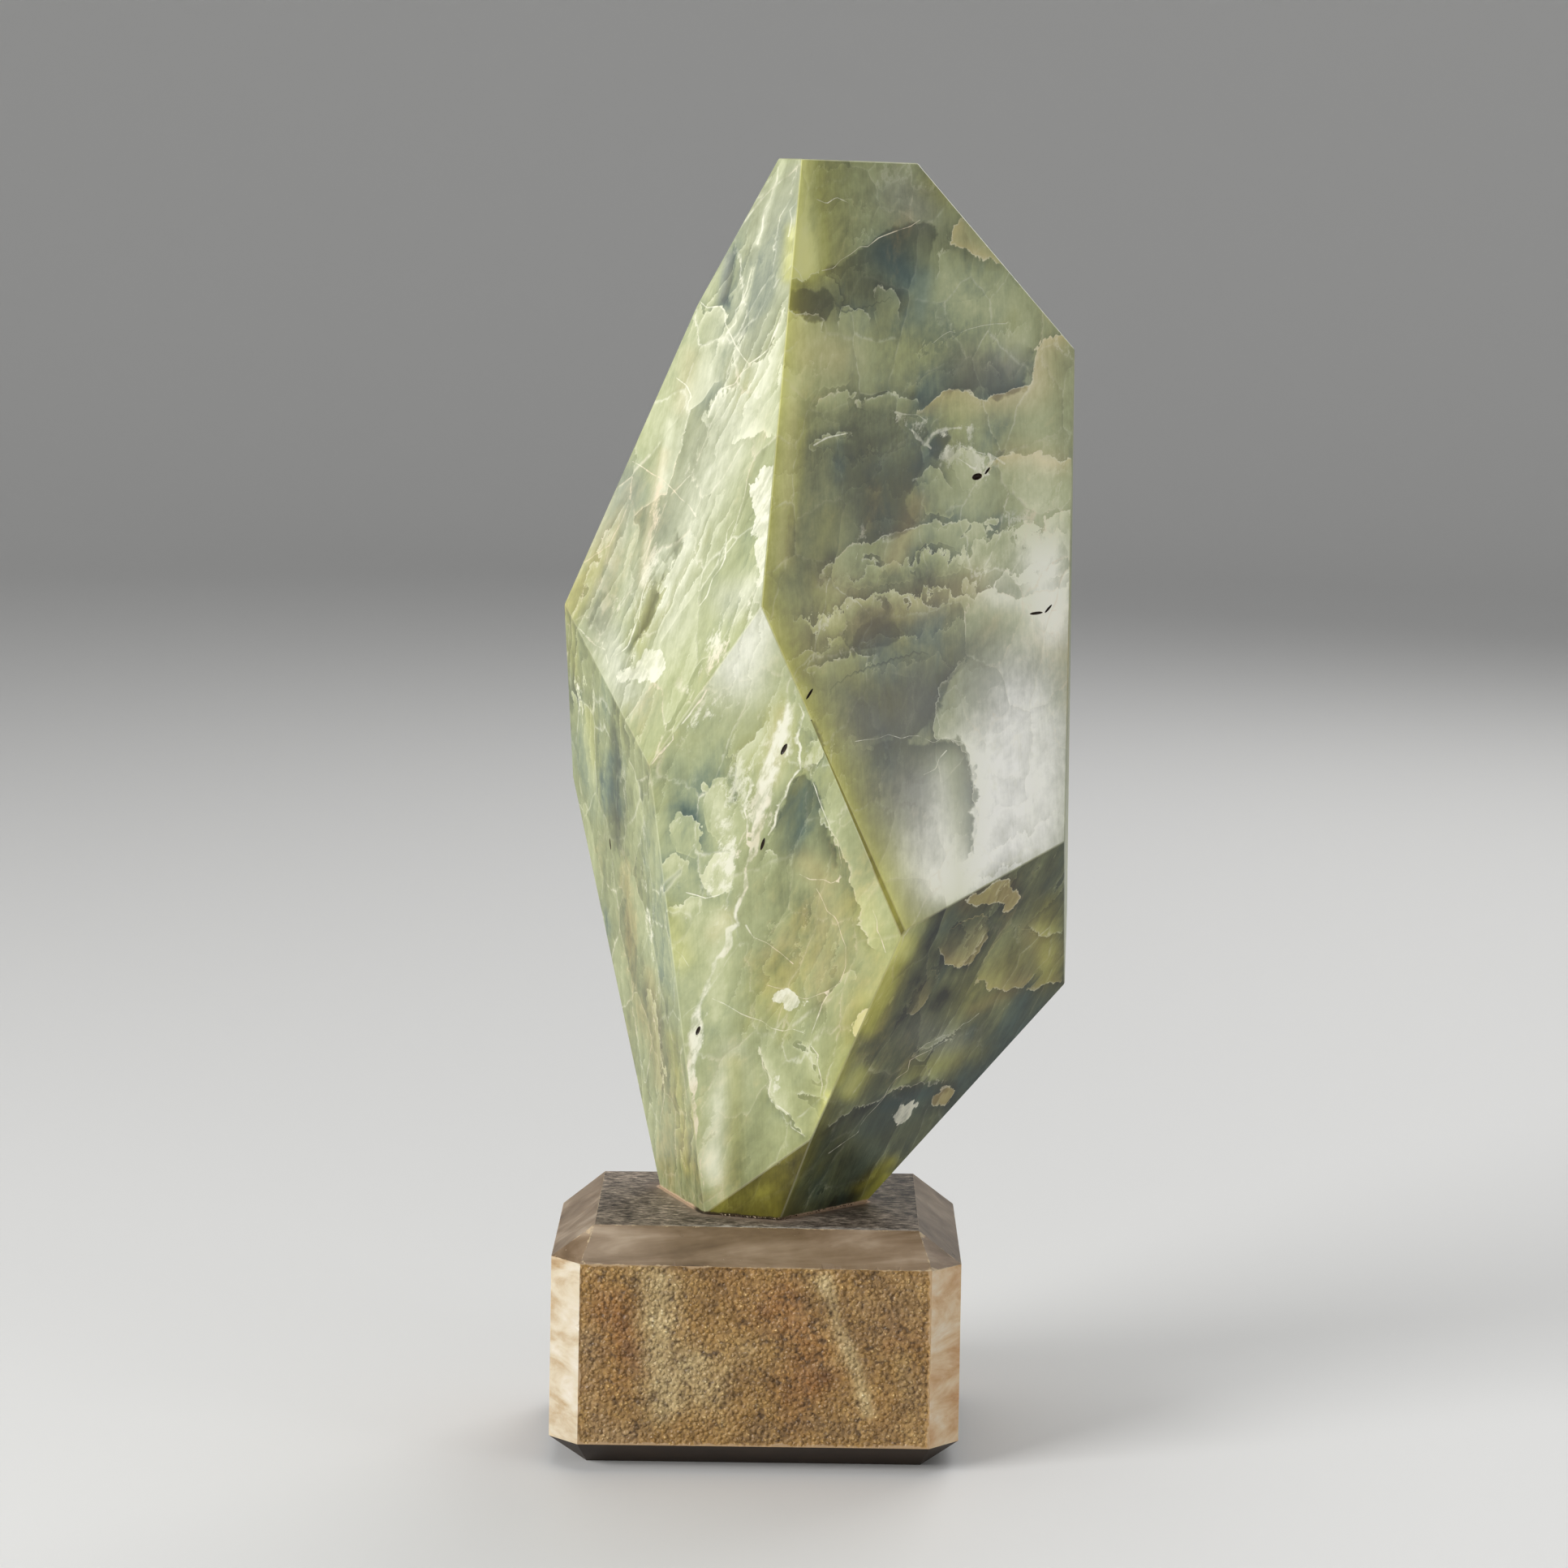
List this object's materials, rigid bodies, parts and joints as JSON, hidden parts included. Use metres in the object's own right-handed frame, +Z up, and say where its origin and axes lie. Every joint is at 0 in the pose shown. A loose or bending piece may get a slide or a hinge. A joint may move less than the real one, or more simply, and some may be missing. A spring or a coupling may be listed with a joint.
{
  "type": "nephrite jade block on stone base",
  "caption": "Tall upright block of translucent green nephrite jade, cut in large flat facets, standing in a shallow socket in a chamfered, bush-hammered stone base.",
  "frame": {"origin": "middle of the stone base's underside", "axes": "+Z up along the block's length; the base's front face and the block's front ridge point to -Y; +X to the right seen from the front"},
  "size_m": [0.1917, 0.1407, 0.4763],
  "materials": {
    "nephrite_jade": "satin polish, translucent",
    "base_stone": "bush-hammered sides, honed top, polished chamfers"
  },
  "bodies": {
    "root": {"jade_block": "nephrite_jade", "stone_base": "base_stone"}
  },
  "joints": []
}
